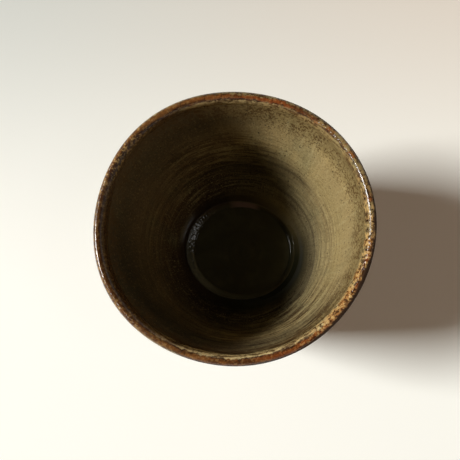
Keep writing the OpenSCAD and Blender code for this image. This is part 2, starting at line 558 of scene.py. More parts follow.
    def _inner_wall(self) -> Stretch:
        """The inner wall with its grooves, which the glaze partly fills, down to the fillet."""
        s, h = self.sizes, self.hand
        stops = (s.lip_z, s.band_z, s.pool_z, s.ledge_z + s.floor_fillet)
        counts = (self.band_rows, self.wall_rows, self.pool_rows)
        z = np.concatenate([
            mix(top, bottom, self._shares(count, 1))
            for top, bottom, count in zip(stops, stops[1:], counts)
        ])
        groove = self.groove(z)
        still = faded(self.wall_share(z), *h.end_fades)
        uneven = h.undulation * self.undulation(z, h.undulation_inside)
        r = self.wall_in(z) + s.ring_depth * groove + uneven * still
        to_band = smooth((s.lip_z - z) / (s.lip_z - s.band_z))
        to_pool = smooth((s.pool_z - z) / s.pool_rise)
        thick = mix(mix(s.lip_glaze_t, s.glaze_t, to_band), s.pool_t, to_pool)
        return r, z, thick + h.groove_fill_share * s.ring_depth * groove, 0, groove, 0

    def _floor(self) -> list[Stretch]:
        """The fillet, a quarter circle, then the ledge, the well's side and its floor with a spiral."""
        s, h = self.sizes, self.hand
        bend = self._shares(self.fillet_rows, 1) * math.pi / 2
        z_fillet = s.ledge_z + s.floor_fillet * (1 - np.sin(bend))
        r_fillet = self.wall_in(z_fillet) - s.floor_fillet * (1 - np.cos(bend))
        brink, foot = self.well_edge(), self.well_foot()
        r_ledge = mix(s.floor_r - s.floor_fillet, brink, self._shares(self.ledge_rows, 1))
        down = self._shares(self.side_rows, 1)
        t_side = s.pool_t * (1 + s.well_fill_share * smooth(down))
        r_floor = foot * (1 - self._shares(self.floor_rows, 1) * (1 - NEAR_AXIS))
        swirl = np.cos(TURN * r_floor / h.floor_spiral_pitch - self.theta + h.floor_spiral_phase)
        inward = faded(r_floor, *h.floor_spiral_fades, h.floor_spiral_r)
        z_floor = s.well_z + h.floor_spiral_depth * swirl * inward
        t_floor = s.pool_t * (1 + s.well_fill_share)
        return [
            (r_fillet, z_fillet, s.pool_t, 0, 0, 0),
            (r_ledge, s.ledge_z, s.pool_t, 1, 0, 0),
            (mix(brink, foot, down), s.ledge_z - s.well_depth * self.slope(down), t_side, 1, 0, 0),
            (r_floor, z_floor, t_floor, 1, (1 + swirl * inward) / 2 * (inward > 0), 0),
        ]

    def _walked(self, r: Array, z: Array) -> Array:
        """Distance along the outline from its first row."""
        step = np.hypot(np.diff(r, axis=0), np.diff(z, axis=0))
        return np.concatenate([np.zeros((1, self.columns)), np.cumsum(step, axis=0)])

    def _off_clay(self, r: Array, z: Array, upright: Array) -> tuple[Array, Array]:
        """Direction in which the glaze stands off the clay: square to it, or straight up if upright."""
        dr, dz = np.gradient(r, axis=0), np.gradient(z, axis=0)
        length = np.hypot(dr, dz)
        return np.where(upright > 0, 0.0, dz / length), np.where(upright > 0, 1.0, -dr / length)

    def _surface(self, r: Array, z: Array, *marks: Array) -> Outline:
        """Place an outline in space, work out its normals and keep its marks."""
        point = self.hand.pulled(r, z, self.theta, self.sizes)
        return Outline(point, facing(point), *marks)

    def _bare_outline(self) -> Outline:
        """The unglazed clay: the hollow's ceiling and side, the foot ring and the hip."""
        s, h, shares = self.sizes, self.hand, self._shares
        foot_in = s.foot_r - s.foot_w
        slope = math.atan2(s.recess_draft, s.recess_depth - s.foot_edge)
        inner, outer = foot_in + s.foot_edge, s.foot_r - s.foot_edge

        def arc(r: float, z: float, radius: float, start: float, end: float, count: int) -> Stretch:
            """Return the radii, heights and furrow of an arc that stops a step short of its end."""
            turned = mix(start, end, shares(count))
            return r + radius * np.cos(turned), z + radius * np.sin(turned), 0

        ceiling_r = foot_in - s.recess_draft - s.recess_corner
        r_ceiling = ceiling_r * (NEAR_AXIS + (1 - NEAR_AXIS) * shares(self.ceiling_rows))
        turned = np.cos(TURN * r_ceiling / h.turning_pitch - self.theta)
        settle = faded(r_ceiling, h.ceiling_fade, h.ceiling_fade, ceiling_r)
        z_ceiling = s.recess_depth - h.turning_depth * (1 + turned) * settle
        corner_z = s.recess_depth - s.recess_corner
        side = shares(self.hollow_rows)
        side_r = (ceiling_r + s.recess_corner * math.cos(slope), inner - s.foot_edge * math.cos(slope))
        side_z = (corner_z + s.recess_corner * math.sin(slope), s.foot_edge * (1 - math.sin(slope)))
        ring = shares(self.ring_rows)
        z_ring = mix(s.foot_edge, s.foot_h - s.neck_h, ring)
        cut = 1 - self._rings(z_ring / h.turning_pitch)
        r_ring = s.foot_r - h.turning_depth * cut * faded(ring, *h.ring_fades)
        hip = mix(s.hip_start / s.hip_h, 1.0, shares(self.hip_rows))
        z_hip = mix(s.foot_h, self.glaze_line(), hip**self.hip_crowding)
        trimmed = 1 - self._rings(z_hip / h.trimming_pitch)
        r_hip = self.wall_out(z_hip) - h.turning_depth * trimmed * faded(hip, *h.end_fades)
        r, z, furrow = stacked(
            (r_ceiling, z_ceiling, (1 + turned) / 2 * settle),
            arc(ceiling_r, corner_z, s.recess_corner, math.pi / 2, slope, self.corner_rows),
            (mix(*side_r, side), mix(*side_z, side), 0),
            arc(inner, s.foot_edge, s.foot_edge, math.pi + slope, 1.5 * math.pi, self.edge_rows),
            (mix(inner, outer, shares(self.stand_rows)), 0, 0),
            arc(outer, s.foot_edge, s.foot_edge, 1.5 * math.pi, TURN, self.edge_rows),
            (r_ring, z_ring, cut),
            (r_hip, z_hip, trimmed),
        )
        walked = self._walked(r, z)
        return self._surface(r, z, walked - walked[-1] + self.run[0], furrow, 0 * r, 0 * r)

    def back_rows(self, first: int, last: int) -> Array:
        """Rows of the clay that back a coat: close together at the glaze line, then every few."""
        near = np.arange(first, min(last, self.near_rows)) if first == 0 else np.array([first])
        return np.unique(np.concatenate([near, np.arange(near[-1] + 1, last, self.back_step), [last]]))


def lathe(name: str, outline: Outline, tips: Sequence[float] = ()) -> bpy.types.Object:
    """Make a mesh object from an outline's grid.

    Args:
        name: the piece's name.
        outline: the grid, walked so that its outside lies on the right-hand rule's side.
        tips: heights of two points on the axis that close the first and the last row. Without them
            the last row is joined to the first, as on a hoop.

    Returns:
        The object, at the origin, linked to the scene.
    """
    rows, cols = outline.point.shape[:2]
    points, normals = outline.point.reshape(-1, 3), outline.normal.reshape(-1, 3)
    values = {key: getattr(outline, key).ravel() for key in MARKS}
    i = np.arange(rows - 1 if tips else rows)[:, None]
    j = np.arange(cols)
    below, above, beside = i * cols, (i + 1) % rows * cols, (j + 1) % cols
    quads = np.stack([below + j, below + beside, above + beside, above + j], axis=-1)
    faces = [quads.reshape(-1, 4)]
    if tips:
        end = (rows - 1) * cols
        faces.append(np.stack([beside, j, np.full(cols, len(points))], axis=-1))
        faces.append(np.stack([end + j, end + beside, np.full(cols, len(points) + 1)], axis=-1))
        points = np.concatenate([points, [[0, 0, tip] for tip in tips]])
        normals = np.concatenate([normals, outline.normal[[0, -1]].mean(axis=1)])
        values = {key: np.append(v, [v[:cols].mean(), v[-cols:].mean()]) for key, v in values.items()}
    loops = np.concatenate([part.ravel() for part in faces])
    sizes = np.concatenate([np.full(len(part), part.shape[1]) for part in faces])
    mesh = bpy.data.meshes.new(name)
    mesh.vertices.add(len(points))
    mesh.loops.add(len(loops))
    mesh.polygons.add(len(sizes))
    mesh.vertices.foreach_set("co", points.astype(np.float32).ravel())
    mesh.loops.foreach_set("vertex_index", loops.astype(np.int32))
    mesh.polygons.foreach_set("loop_start", (np.cumsum(sizes) - sizes).astype(np.int32))
    mesh.update(calc_edges=True)
    mesh.validate()
    mesh.polygons.foreach_set("use_smooth", np.ones(len(sizes), bool))
    for key, value in values.items():
        mesh.attributes.new(key, "FLOAT", "POINT").data.foreach_set("value", value.astype(np.float32))
    mesh.normals_split_custom_set_from_vertices(normals.astype(np.float32))
    mesh.update()
    piece = bpy.data.objects.new(name, mesh)
    bpy.context.scene.collection.objects.link(piece)
    return piece


class Graph:
    """Builds the nodes of a material or a world with short calls, and keeps the colour so far."""

    def __init__(self, owner: Union[bpy.types.Material, bpy.types.World], radius: float = 1.0) -> None:
        """Empty the owner's nodes; radius is that of the circle on which a wall is unrolled."""
        owner.use_nodes = True
        self.owner = owner
        self.radius = radius
        self.tree = owner.node_tree
        self.tree.nodes.clear()
        self.coordinates = self.add("ShaderNodeTexCoord").outputs
        self.object_point = self.coordinates["Object"]
        self.tint: Optional[Paint] = None

    def add(self, kind: str, inputs: Optional[dict] = None, **settings: object) -> bpy.types.Node:
        """Add a node, set its properties and fill its inputs with values or sockets.

        Args:
            kind: the node's type.
            inputs: values or sockets by the input's name or number.
            settings: properties of the node.

        Returns:
            The new node.
        """
        node = self.tree.nodes.new(kind)
        for key, value in settings.items():
            setattr(node, key, value)
        for key, value in (inputs or {}).items():
            if isinstance(value, Socket):
                self.tree.links.new(value, node.inputs[key])
            else:
                node.inputs[key].default_value = value
        return node

    def math(self, operation: str, *values: Number, clamp: bool = False) -> Socket:
        """Return the result of a Math node on the values."""
        node = self.add("ShaderNodeMath", dict(enumerate(values)), operation=operation, use_clamp=clamp)
        return node.outputs[0]

    def times(self, *values: Number) -> Socket:
        """Return the product of the values."""
        return reduce(lambda a, b: self.math("MULTIPLY", a, b), values)

    def total(self, *values: Number) -> Socket:
        """Return the sum of the values."""
        return reduce(lambda a, b: self.math("ADD", a, b), values)

    def most(self, *values: Number) -> Socket:
        """Return the largest of the values."""
        return reduce(lambda a, b: self.math("MAXIMUM", a, b), values)

    def inverse(self, value: Socket) -> Socket:
        """Return 1 less the value."""
        return self.math("SUBTRACT", 1.0, value)

    def centred(self, value: Socket) -> Socket:
        """Return the value less a half, so that a noise lies about zero."""
        return self.math("SUBTRACT", value, 0.5)

    def soften(self, value: Socket, goal: float, share: Socket) -> Socket:
        """Return the value, moved towards the goal by the given share."""
        return self.total(value, self.times(self.math("SUBTRACT", goal, value), share))

    def above(self, value: Socket, limit: Number, steep: float) -> Socket:
        """Return 0 below the limit and a rise of the given steepness up to 1 above it."""
        return self.math("MULTIPLY", self.math("SUBTRACT", value, limit), steep, clamp=True)

    def scaled(self, value: Socket, source: Pair, goal: Pair = (0.0, 1.0), **settings: object) -> Socket:
        """Return the value, carried over from one range to another and held within it."""
        ends = dict(zip(("From Min", "From Max", "To Min", "To Max"), (*source, *goal)))
        return self.add("ShaderNodeMapRange", {"Value": value, **ends}, **settings).outputs["Result"]

    def between(self, value: Socket, low: float, high: float) -> Socket:
        """Return 0 where value is at low, 1 where it is at high, and a smooth rise between."""
        return self.scaled(value, (low, high), interpolation_type="SMOOTHSTEP")

    def reach(self, value: Socket, low: float, high: float) -> Socket:
        """Return the same for a distance, with its two ends given in millimetres."""
        return self.between(value, low * MM, high * MM)

    def band(self, value: Socket, *ends: float, unit: float = MM) -> Socket:
        """Return 1 between the middle two of four ends, and 0 beyond the outer two."""
        a, b, c, d = (end * unit for end in ends)
        return self.times(self.between(value, a, b), self.between(value, d, c))

    def mark(self, name: str) -> Socket:
        """Return a number that the mesh holds at each point."""
        return self.add("ShaderNodeAttribute", attribute_name=name).outputs["Fac"]

    @cached_property
    def run(self) -> Socket:
        """Distance along the outline from the lip's crest."""
        return self.mark("run")

    @cached_property
    def furrow(self) -> Socket:
        """Depth in the nearest groove, from 0 to 1."""
        return self.mark("furrow")

    @cached_property
    def sink(self) -> Socket:
        """Place across the well."""
        return self.mark("sink")

    def vector(self, operation: str, *values: object) -> bpy.types.bpy_prop_collection:
        """Return the outputs of a Vector Math node on the values."""
        return self.add("ShaderNodeVectorMath", dict(enumerate(values)), operation=operation).outputs

    @cached_property
    def way(self) -> Socket:
        """Level direction from the cup's axis, of length 1."""
        flat = self.vector("MULTIPLY", self.object_point, (1.0, 1.0, 0.0))[0]
        return self.vector("NORMALIZE", flat)[0]

    @cached_property
    def wall(self) -> Socket:
        """Place on the unrolled wall: the way round on a circle, and the run as height."""
        split = self.add("ShaderNodeSeparateXYZ", {0: self.way}).outputs
        x, y = (self.times(split[axis], self.radius) for axis in "XY")
        return self.add("ShaderNodeCombineXYZ", {"X": x, "Y": y, "Z": self.run}).outputs[0]

    def toward(self, azimuth: float) -> Socket:
        """Return the cosine of the angle between a place's direction and the azimuth."""
        a = math.radians(azimuth)
        return self.vector("DOT_PRODUCT", self.way, (math.cos(a), math.sin(a), 0.0))["Value"]

    def sector(self, azimuth: float, half: float) -> Socket:
        """Return 1 near the azimuth, falling smoothly to 0 at the given angle on either side."""
        end, full = math.cos(math.radians(half)), math.cos(math.radians(half * SECTOR_CORE))
        return self.between(self.toward(azimuth), end, full)

    def noise(self, point: Socket, size: float, detail: float = 3.0, rough: float = 0.6) -> Socket:
        """Return a noise from 0 to 1 whose patches are about size across, in millimetres."""
        inputs = {"Vector": point, "Scale": 1.0 / (size * MM), "Detail": detail, "Roughness": rough}
        return self.add("ShaderNodeTexNoise", inputs).outputs["Fac"]

    def moved(self, point: Socket, shift: float, stretch: Pair = (1.0, 1.0)) -> Socket:
        """Return the point scaled round and along the wall and moved, for a pattern of its own."""
        round_by, along_by = stretch
        inputs = {"Vector": point, "Scale": (round_by, round_by, along_by), "Location": (shift,) * 3}
        return self.add("ShaderNodeMapping", inputs).outputs["Vector"]

    def grain(self, size: float, stretch: Pair = (1.0, 1.0), shift: float = 0.0, detail: float = 3.0,
              rough: float = 0.6) -> Socket:
        """Return a noise on the unrolled wall; below 1, a stretch draws it out round or along."""
        return self.noise(self.moved(self.wall, shift, stretch), size, detail, rough)

    def mixed(self, kind: str, share: Number, first: Paint, second: Paint) -> Socket:
        """Return the first colour with the given share of the second mixed in, in the given way."""
        inputs = dict(zip(MIX_INPUTS, (share, first, second)))
        node = self.add("ShaderNodeMix", inputs, data_type="RGBA", blend_type=kind)
        return node.outputs[MIX_OUTPUT]

    def blend(self, share: Number, first: Paint, second: Paint) -> Socket:
        """Return the colour that lies the given share of the way from first to second."""
        return self.mixed("MIX", share, first, second)

    def lay(self, over: Union[str, Socket], *shares: Number) -> None:
        """Lay a colour over the tint, as thick as the product of the shares."""
        paint = colour(over) if isinstance(over, str) else over
        self.tint = self.blend(self.times(*shares), self.tint, paint)

    def dim(self, by: float, *shares: Number) -> None:
        """Take the tint down to a part of itself where the product of the shares is 1."""
        self.tint = self.mixed("MULTIPLY", self.times(*shares), self.tint, (by, by, by, 1.0))

    def ramp(self, value: Socket, stops: Sequence[tuple[float, str]]) -> Socket:
        """Return the colour of a ramp with the given places and web colours."""
        node = self.add("ShaderNodeValToRGB", {"Fac": value})
        elements = node.color_ramp.elements
        while len(elements) < len(stops):
            elements.new(1.0)
        for element, (place, code) in zip(elements, stops):
            element.position = place
            element.color = colour(code)
        return node.outputs["Color"]

    def bump(self, height: Socket, depth: float, **under: Socket) -> Socket:
        """Return the normal of a relief whose depth is in millimetres, on another Normal if given."""
        inputs = {"Height": height, "Distance": depth * MM, "Strength": 1.0, **under}
        return self.add("ShaderNodeBump", inputs).outputs["Normal"]

    def finish(self, rough: Number, normal: Socket, ior: float) -> bpy.types.Material:
        """Close the material with a Principled shader in the tint and return it."""
        inputs = {"Base Color": self.tint, "Roughness": rough, "Normal": normal, "IOR": ior}
        shader = self.add("ShaderNodeBsdfPrincipled", inputs)
        self.add("ShaderNodeOutputMaterial", {"Surface": shader.outputs["BSDF"]})
        return self.owner


@dataclass(frozen=True)
class StainAndPaintedLight:
    """A stretch of the wall painted darker or paler with soft borders: glaze tone in places, painted
    light and shade in others.

    It is centred on an azimuth, fades out at half an angle to both sides, and runs down the wall from
    its first place to its last, in millimetres; by is how much of the light it gives back.
    """

    azimuth: float
    half: float
    first: float
    last: float
    by: float
    soft: ClassVar[float] = 4.0

    def lay(self, g: Graph) -> None:
        """Lay the patch over the graph's tint."""
        s = self.soft
        down = g.band(g.run, self.first - s, self.first + s, self.last - s, self.last + s)
        g.dim(self.by, g.sector(self.azimuth, self.half), down)


@dataclass(frozen=True)
class AshGlaze:
    """The inside glaze: rust and cream at the lip, mottled, khaki, and browner where it is thick.

    Its zones follow the distance from the lip's crest, so they run on from one coat to the next.
    Distances are in millimetres, angles in degrees from +X towards +Y, colours as a screen shows them.
    """

    radius: float
    fair: Zones = (
        (-3.4, "17130a"), (-2.0, "1f180b"), (-1.6, "3d2812"), (-1.1, "80421d"), (0.4, "84441d"),
        (0.7, "6b4526"), (1.0, "937f54"), (3.6, "907d53"), (9.0, "8f7c50"), (15.0, "9a865a"),
        (22.0, "a28d60"), (36.0, "9e8a5c"), (46.0, "97845a"), (60.0, "8f7f57"), (72.0, "8b7b55"),
        (78.0, "85764f"), (80.5, "6b5f40"), (83.0, "423f2d"), (100.0, "3f3c2a"),
    )
    # Zones for the side away from the window: the glaze's browner tone there, darkened further as
    # painted shade
    dusky_and_shaded: Zones = (
        (-3.4, "17130a"), (-1.9, "1c160a"), (-1.4, "2e1c0d"), (-1.0, "6a4521"), (0.2, "6c4524"),
        (0.6, "4a3019"), (1.0, "493722"), (2.4, "4c3d27"), (3.8, "5e5039"), (9.0, "5d5039"),
        (16.0, "5b4e37"), (24.0, "69583f"), (32.0, "735f43"), (44.0, "755f41"), (54.0, "6b5437"),
        (62.0, "5f482c"), (70.0, "503b22"), (77.0, "3e2c18"), (80.0, "382815"), (83.0, "403d2b"),
        (100.0, "3f3c2a"),
    )
    zones_from: float = -4.0
    zones_to: float = 100.0
    # Azimuth of the side painted darker, away from the window
    shaded_side_at: float = 185.0
    # Some patches are the glaze's tone; the paler band at 60 degrees and the darker one below it are
    # painted light and a painted shadow edge
    stains_and_painted_light: tuple[StainAndPaintedLight, ...] = (
        StainAndPaintedLight(8, 50, 4, 8, 0.88), StainAndPaintedLight(60, 34, 11, 35, 1.2), StainAndPaintedLight(62, 34, 43, 50, 0.58),
        StainAndPaintedLight(92, 28, 11, 18, 0.75), StainAndPaintedLight(92, 32, 27, 35, 1.3), StainAndPaintedLight(92, 30, 50, 58, 0.65),
        StainAndPaintedLight(120, 30, 56, 74, 1.3), StainAndPaintedLight(28, 24, 13, 18, 1.25), StainAndPaintedLight(-148, 32, 13, 40, 0.75),
        StainAndPaintedLight(-120, 30, 17, 44, 0.8), StainAndPaintedLight(-122, 28, 22, 28, 0.75), StainAndPaintedLight(-92, 28, 28, 36, 1.4),
        StainAndPaintedLight(-62, 30, 11, 28, 0.68), StainAndPaintedLight(-62, 28, 57, 66, 1.55), StainAndPaintedLight(-25, 60, 66, 78, 0.6),
    )
    # Where the dark outer edge of the lip is wider, on the right as painted shade and at the top:
    # azimuth, half angle and how much
    edge_widths: tuple[tuple[float, float, float], ...] = (
        (-20, 56, 0.7), (-34, 30, 1.1), (72, 40, 0.65),
    )
    speck: str = "22140a"
    brown: str = "40290f"
    mottle: str = "574021"
    fleck: str = "bf9c62"
    gold: str = "9c6c38"
    olive: str = "95855a"
    cream: str = "cbb682"
    pale: str = "b5a679"
    green: str = "62664a"
    moss: str = "171b10"
    ring: str = "545447"
    painted_ring_glint: str = "7c6560"
    swirl: str = "4e4a35"
    pit: str = "28140a"
    edge: str = "3c2510"
    ledge_shade: str = "281b0c"
    umber: str = "432712"
    wall_rough: float = 0.46
    wall_rough_span: float = 0.12
    corner_rough: float = 0.26
    lip_rough: float = 0.17
    wet_rough: float = 0.1
    edge_rough: float = 1.0
    pool_rough: float = 0.1
    foot_rough: float = 0.3
    relief: float = 0.14
    ior: float = 1.42

    def material(self, name: str) -> bpy.types.Material:
        """Make the glaze under the given name."""
        g = Graph(bpy.data.materials.new(name), self.radius)
        on_wall = g.band(g.run, 4, 9, 70, 81)
        at_lip = g.band(g.run, -2.2, -1.0, 1.5, 4.5)
        place = self._place(g)
        self._zones(g, place)
        self._streaks(g, on_wall)
        self._shade(g, on_wall)
        for patch_of_paint in self.stains_and_painted_light:
            patch_of_paint.lay(g)
        self._mottle(g)
        self._lip_lines(g, place, at_lip)
        self._lip_grain(g, place, at_lip)
        self._floor(g)
        return g.finish(self._roughness(g), g.bump(self._relief(g, on_wall), self.relief), self.ior)

    def _place(self, g: Graph) -> Socket:
        """Return the run, moved up and down from place to place so that the zones' borders wander."""
        above_well = g.reach(g.run, 84, 70)
        slow = g.centred(g.grain(13, (1, 0.5), rough=0.55))
        far = g.scaled(g.run, (1 * MM, 16 * MM), (1.8 * MM, 12 * MM))
        scallop = g.centred(g.grain(1.5, (1, 0.5), detail=4.0, rough=0.65))
        raised = g.times(g.sector(90, 60), -0.6 * MM)
        slip = g.total(g.times(slow, far), g.times(scallop, 2.2 * MM), raised)
        return g.total(g.run, g.times(slip, above_well))

    def _zones(self, g: Graph, place: Socket) -> None:
        """Start the tint with the zones' colours, fair towards the window and darker away from it,
        partly as painted shade.
        """
        low, high = self.zones_from, self.zones_to
        share = g.scaled(place, (low * MM, high * MM))
        fair, dusky_and_shaded = (
            g.ramp(share, [((at - low) / (high - low), code) for at, code in zones])
            for zones in (self.fair, self.dusky_and_shaded)
        )
        drift = g.centred(g.grain(20, detail=2.0, rough=0.5))
        turned = g.total(g.toward(self.shaded_side_at), g.times(drift, 0.9))
        g.tint = g.blend(g.between(turned, -0.45, 0.35), fair, dusky_and_shaded)

    def _streaks(self, g: Graph, on_wall: Socket) -> None:
        """Lay green patches, pale and dark runs down the wall, and fine streaks round it."""
        patch = g.grain(15, (1, 0.4), 0.31, 2.0, 0.5)
        g.lay(self.green, g.between(patch, 0.5, 0.75), on_wall, 0.35)
        trickle = g.grain(2, (1, 0.07))
        lit = g.times(on_wall, g.between(g.toward(self.shaded_side_at), 0.5, -0.5), 0.3)
        g.lay(self.pale, g.between(trickle, 0.52, 0.72), lit)
        g.dim(0.72, g.between(trickle, 0.48, 0.3), lit)
        hoop = g.grain(1.7, (0.08, 1), 0.17, 4.0, 0.68)
        dash = g.grain(0.9, (0.22, 1), 0.63)
        beyond = g.times(g.sector(102, 50), g.reach(g.run, 16, 34), 0.8)
        streaked = g.most(g.times(g.reach(g.run, 18, 50), 0.35), g.sector(-78, 66), beyond)
        streaked = g.times(streaked, on_wall)
        g.lay(self.pale, g.above(g.inverse(hoop), 0.53, 14), streaked, 0.6)
        g.lay(self.brown, g.above(hoop, 0.5, 16), streaked, 0.9)
        g.lay(self.speck, g.above(dash, 0.56, 10), streaked, 0.8)

    def _shade(self, g: Graph, on_wall: Socket) -> None:
        """Darken the grooves, the lower left and the low far and near walls, partly as painted shade,
        and lay a fine grain.
        """
        g.dim(0.6, g.between(g.furrow, 0.3, 1.0), g.reach(g.run, 24, 40), 0.4)
        # The lower left, away from the window, darker: partly the glaze's own tone, partly painted shade
        g.dim(0.5, g.sector(-138, 62), g.band(g.run, 2, 5, 16, 34), 0.85)
        g.dim(0.66, g.sector(-142, 58), on_wall, 0.75)
        # Darker low on the far and near walls: partly the glaze's browner tone, partly painted shade
        # where light only grazes them
        deep = g.band(g.run, 44, 58, 75, 80)
        g.dim(0.45, deep, g.sector(98, 52), 0.85)
        g.dim(0.45, deep, g.sector(-108, 66), 0.9)
        fine = g.grain(0.8, (1, 0.7), rough=0.7)
        g.dim(0.55, g.between(fine, 0.47, 0.3), g.reach(g.run, 83, 76), 0.8)
        g.lay(self.pale, g.between(fine, 0.53, 0.72), on_wall, 0.6)

    def _mottle(self, g: Graph) -> None:
        """Lay crowded brown specks under the lip and rare iron spots below."""
        crowd = g.band(g.run, 2.8, 5, 7, 30)
        clump = g.grain(5, (1, 0.42), 0.77)
        limit = g.total(g.times(clump, -0.5), g.times(crowd, -0.13), 0.86)
        fine = g.grain(0.85, (1, 0.8), rough=0.65)
        g.lay(self.mottle, g.above(fine, limit, 9), crowd, 0.9)
        iron = g.grain(0.75, (1, 0.42), 0.13, 2.0)
        g.lay(self.speck, g.above(iron, 0.645, 18), g.reach(g.run, 82, 74), 0.9)

    def _lip_lines(self, g: Graph, place: Socket, at_lip: Socket) -> None:
        """Lay the lip's pale and dark lines, with olive at one place and gold at another."""
        patch = g.grain(5, (1, 0.5), 0.53)
        plain = g.band(place, -2.6, -1.4, 1, 4)
        g.lay(self.olive, g.sector(24, 42), plain, g.between(patch, 0.62, 0.52), 0.9)
        stripe = g.grain(1.1, (0.16, 1), 0.71)
        front = g.times(g.band(place, 0.6, 1, 3.2, 5), g.sector(-70, 64), g.between(stripe, 0.36, 0.5))
        back = g.times(g.band(place, 0.8, 1.1, 1.8, 2.8), g.sector(94, 28), 0.7)
        g.lay(self.cream, g.most(front, back), 0.9)
        inner = g.band(place, -1.2, -0.2, 1.6, 4)
        g.lay(self.gold, g.between(patch, 0.4, 0.56), inner, g.most(g.sector(-27, 34), 0.15))
        g.dim(0.9, g.sector(-84, 56), at_lip, g.reach(place, 0.9, 0.4))
        g.dim(0.84, g.sector(76, 40), at_lip)
        g.dim(0.87, g.sector(6, 46), g.reach(place, 8, 3))
        line = g.grain(1, (0.14, 1), 0.9)
        g.lay(self.umber, g.between(line, 0.5, 0.58), at_lip, 0.75)
        crack = g.grain(1.6, (0.5, 0.5), 0.37)
        g.lay(self.pit, g.band(place, 0.3, 0.55, 0.7, 0.95), g.between(crack, 0.4, 0.55), 0.8)
        hem = g.band(place, 3.2, 4.2, 6, 11)
        g.lay(self.brown, hem, g.sector(-80, 62), g.between(stripe, 0.62, 0.42), 0.9)

    def _lip_grain(self, g: Graph, place: Socket, at_lip: Socket) -> None:
        """Lay the lip's flecks and pits, and its dark outer edge with painted shade and pale painted
        reflections.
        """
        fine = g.grain(0.8, (0.7, 1), rough=0.7)
        rich = g.most(g.sector(-22, 52), g.times(g.sector(178, 66), 0.8), 0.2)
        g.lay(self.fleck, g.above(fine, 0.52, 12), at_lip, rich, 0.9)
        busy = g.most(g.sector(-16, 62), g.times(g.sector(185, 60), 0.8), 0.3)
        spots = g.above(g.inverse(fine), 0.52, 12)
        g.lay(self.pit, spots, at_lip, busy, 0.9)
        within = g.times(g.band(place, 0.2, 0.8, 4, 9), g.most(g.sector(-76, 50), g.sector(72, 38)))
        g.lay(self.brown, spots, within, 0.6)
        # Dark umber inside the lip on the left, away from the window: partly painted shade
        g.lay(self.umber, g.band(place, -1, -0.3, 3, 6), g.sector(190, 42), 0.65)
        # The outer edge is laid dark, widest on the right as painted shade; the pale olive at the top
        # and left is a painted reflection and painted glints
        rolled = g.times(g.reach(place, -2.8, -1.9), g.between(fine, 0.36, 0.5))
        rolled = g.times(rolled, g.most(g.sector(138, 44), g.sector(231, 22)))
        pale_glints = g.times(g.sector(70, 36), g.between(fine, 0.42, 0.56), 0.6)
        painted_edge = g.blend(g.most(rolled, pale_glints), colour(self.edge), colour(self.olive))
        g.lay(painted_edge, self._outside(g, place))

    def _outside(self, g: Graph, run: Socket) -> Socket:
        """Return 1 on the lip's dark outer edge, which is wider at some places, and 0 inside it."""
        wider = g.most(*(g.times(g.sector(at, half), by * MM) for at, half, by in self.edge_widths))
        return g.reach(g.math("SUBTRACT", run, wider), -0.95, -1.4)

    def _floor(self, g: Graph) -> None:
        """Lay dark colour round the well, partly painted shade, a grey side, partly painted reflection,
        a pink painted glint and a swirl.
        """
        sink = g.sink
        ledge = g.between(sink, 0.1, -0.3)
        # Dark round the well, strongest on the near side: partly darker pooled glaze, partly painted
        # shade in the corner
        g.lay(self.moss, g.between(sink, -9, -3), ledge, g.sector(-50, 100), 0.95)
        # Dark brown on the ledge at the top and left: painted shade
        g.lay(self.ledge_shade, g.between(sink, -5.5, -2), ledge, g.sector(130, 110), 0.7)
        side = g.band(sink, -0.3, 0.1, 0.9, 1.3, unit=1)
        # Grey on the upper part of the well's side, left, top and bottom: partly a painted reflection of
        # the room
        g.lay(self.ring, side, g.between(sink, 1.15, 0.45), g.sector(-140, 108), 0.85)
        g.lay(self.moss, side, g.sector(0, 48), 0.7)
        # A pink painted glint on the far edge of the well
        g.lay(self.painted_ring_glint, g.band(sink, -0.1, 0.3, 0.8, 1.2, unit=1), g.sector(86, 21))
        cloud = g.between(g.noise(g.object_point, 9), 0.4, 0.7)
        swirl = g.most(g.times(g.between(g.furrow, 0.4, 1.0), 0.6), cloud)
        g.lay(self.swirl, swirl, g.between(sink, 1.0, 2.0), 0.6)

    def _roughness(self, g: Graph) -> Socket:
        """Return the roughness: satin on the wall, glossy on the lip and in the well, dull at edges."""
        sink = g.sink
        lip = g.reach(g.run, 8, 2)
        flat = g.times(g.between(sink, -5, -1), g.sector(-20, 90))
        foot = g.times(g.band(sink, -7, -4.5, -2, -0.9, unit=1), g.between(g.toward(157), 0.94, 0.995))
        corner = g.times(g.reach(g.run, 58, 72), g.between(g.toward(0), -0.3, 0.5), self.corner_rough)
        worn = g.times(g.grain(3, (1, 0.42), 0, 2.0, 0.5), self.wall_rough_span)
        rough = g.total(worn, corner, self.wall_rough)
        for goal, share in (
            (self.lip_rough, lip),
            (self.wet_rough, g.times(lip, g.sector(196, 40))),
            (self.edge_rough, g.times(self._outside(g, g.run), g.sector(-25, 130))),
            (self.edge_rough, g.band(sink, -12, -7, -0.6, -0.2, unit=1)),
            (self.foot_rough, foot),
            (self.pool_rough, g.most(flat, g.between(sink, -0.1, 0.25))),
        ):
            rough = g.soften(rough, goal, share)
        return rough

    def _relief(self, g: Graph, on_wall: Socket) -> Socket:
        """Return the height of the surface: pebbled wall, beaded lip and a lumpy side of the well."""
        pebble = g.grain(0.9, (1, 0.7))
        grit = g.noise(g.object_point, 0.8, rough=0.55)
        lumps = g.noise(g.moved(g.object_point, 0.21), 1.1, 1.0, 0.5)
        even = g.most(g.sector(19, 20), g.sector(194, 26))
        beads = g.times(g.band(g.run, -4, -1.5, 3, 7), g.inverse(g.times(even, 0.85)))
        knobs = g.times(g.band(g.sink, -0.5, 0.1, 0.9, 1.4, unit=1), g.between(g.toward(165), 0.3, 0.8))
        calm = g.between(g.sink, 0.5, -4)
        gritty = g.times(grit, g.total(beads, g.times(calm, 0.35), 0.05))
        return g.total(g.times(pebble, calm, on_wall), gritty, g.times(lumps, knobs, 1.3))


